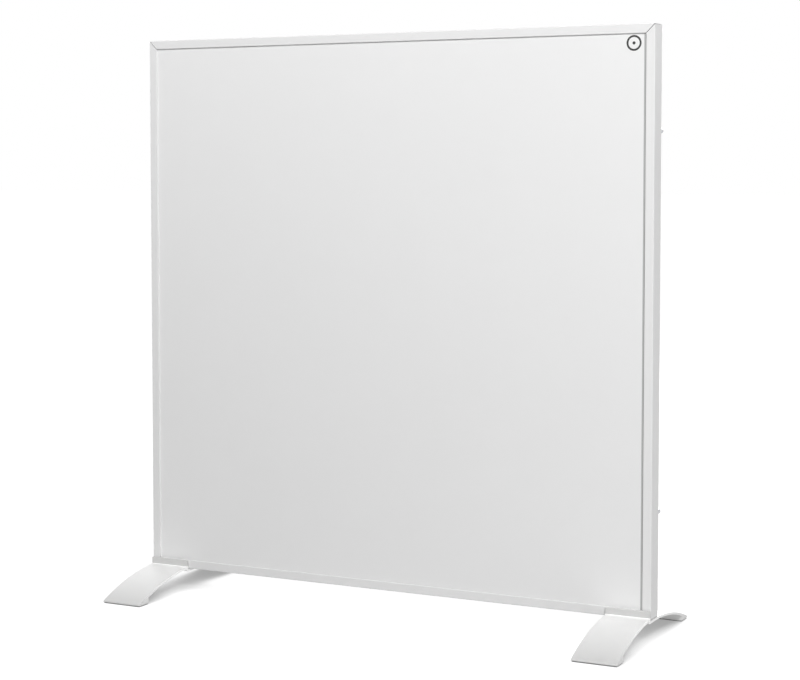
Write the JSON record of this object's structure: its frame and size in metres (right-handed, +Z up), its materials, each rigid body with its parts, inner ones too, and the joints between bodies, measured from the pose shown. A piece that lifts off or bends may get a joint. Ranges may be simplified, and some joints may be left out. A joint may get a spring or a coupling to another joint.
{
  "type": "infrared panel heater",
  "caption": "Flat square infrared heating panel in a slim white frame, standing on two arched feet, with a connection box and hanging pegs on its back.",
  "frame": {"origin": "on the floor, in the middle between the two feet, under the middle of the panel", "axes": "+X to the right along the panel seen from the front, +Y to the back, +Z up; the heating face looks along -Y"},
  "size_m": [0.6, 0.22, 0.624],
  "materials": {
    "white_frame": "satin white powder coat on aluminium",
    "white_enamel": "smooth satin white heat-resisting coating",
    "white_back": "white coated sheet",
    "satin_aluminium": "satin anodised extrusion",
    "cast_zinc": "as cast",
    "zinc_steel": "zinc plated",
    "knurled_steel": "nickel plated, knurled",
    "aluminium_rivet": "plain",
    "brass": "plain",
    "copper": "rolled copper strip",
    "laminate": "glass-fibre laminate",
    "carbon_ink": "printed carbon",
    "amber_film": "clear amber film",
    "foil": "bright foil",
    "mineral_wool": "pressed fibre board",
    "white_plastic": "fine moulded texture",
    "cream_plastic": "moulded",
    "black_plastic": "moulded",
    "grey_plastic": "moulded",
    "white_liner": "smooth",
    "grey_rubber": "matt",
    "black_rubber": "matt",
    "brown_lead": "silicone insulation",
    "blue_lead": "silicone insulation",
    "earth_lead": "green and yellow insulation"
  },
  "bodies": {
    "panel": {"frame_top_rail": "white_frame", "frame_bottom_rail": "white_frame", "frame_left_rail": "white_frame", "frame_right_rail": "white_frame", "corner_keys": "cast_zinc", "corner_key_screws": "zinc_steel", "front_plate": "white_enamel", "heater_board": "laminate", "carbon_tracks": "carbon_ink", "bus_bars": "copper", "insulating_sheet": "amber_film", "reflector_foil": "foil", "insulation_board": "mineral_wool", "back_plate": "white_back", "wall_pegs": "zinc_steel", "peg_nut_bars": "zinc_steel", "lead_grommets": "black_rubber", "box_base": "white_plastic", "box_cover": "white_plastic", "box_cover_screws": "zinc_steel", "box_rivets": "aluminium_rivet", "terminal_block": "cream_plastic", "terminal_clamps": "brass", "terminal_screws": "zinc_steel", "thermal_cutout": "black_plastic", "cutout_rivets": "aluminium_rivet", "cutout_blades": "brass", "switch_housing": "black_plastic", "switch_blades": "brass", "spade_connectors": "brass", "gland_body": "grey_plastic", "gland_seal": "black_rubber", "gland_nut": "grey_plastic", "gland_locknut": "grey_plastic", "earth_stud": "zinc_steel", "earth_ring": "brass", "earth_nut": "zinc_steel", "live_lead": "brown_lead", "switch_lead": "brown_lead", "heater_live_lead": "brown_lead", "heater_neutral_lead": "blue_lead", "earth_lead": "earth_lead"},
    "switch_rocker": {"switch_rocker": "black_plastic"},
    "left_foot": {"left_foot": "satin_aluminium", "left_foot_pads": "grey_rubber", "left_foot_liner": "white_liner", "left_clamp_bush": "brass"},
    "left_clamp_pad": {"left_clamp_pad": "white_liner"},
    "left_clamp_screw": {"left_clamp_screw": "knurled_steel"},
    "right_foot": {"right_foot": "satin_aluminium", "right_foot_pads": "grey_rubber", "right_foot_liner": "white_liner", "right_clamp_bush": "brass"},
    "right_clamp_pad": {"right_clamp_pad": "white_liner"},
    "right_clamp_screw": {"right_clamp_screw": "knurled_steel"}
  },
  "joints": [
    {"name": "rocker_tilt", "type": "hinge", "parent": "panel", "child": "switch_rocker", "pos_m": [0.2468, 0.0203, 0.089], "axis": [0, 1, 0], "range_deg": [-16, 0]},
    {"name": "left_foot_shift", "type": "slide", "parent": "panel", "child": "left_foot", "axis": [1, 0, 0], "range_m": [0, 0.12]},
    {"name": "left_clamp_travel", "type": "slide", "parent": "left_foot", "child": "left_clamp_pad", "axis": [0, 1, 0], "range_m": [0, 0.0016]},
    {"name": "left_clamp_turn", "type": "hinge", "parent": "left_clamp_pad", "child": "left_clamp_screw", "pos_m": [-0.276, 0.015, 0.03], "axis": [0, 1, 0], "range_deg": [0, 720]},
    {"name": "right_foot_shift", "type": "slide", "parent": "panel", "child": "right_foot", "axis": [-1, 0, 0], "range_m": [0, 0.12]},
    {"name": "right_clamp_travel", "type": "slide", "parent": "right_foot", "child": "right_clamp_pad", "axis": [0, 1, 0], "range_m": [0, 0.0016]},
    {"name": "right_clamp_turn", "type": "hinge", "parent": "right_clamp_pad", "child": "right_clamp_screw", "pos_m": [0.276, 0.015, 0.03], "axis": [0, 1, 0], "range_deg": [0, 720]}
  ],
  "couplings": [
    {"joint": "left_clamp_travel", "follows": "left_clamp_turn", "m_per_rad": 0.000127},
    {"joint": "right_clamp_travel", "follows": "right_clamp_turn", "m_per_rad": 0.000127}
  ]
}
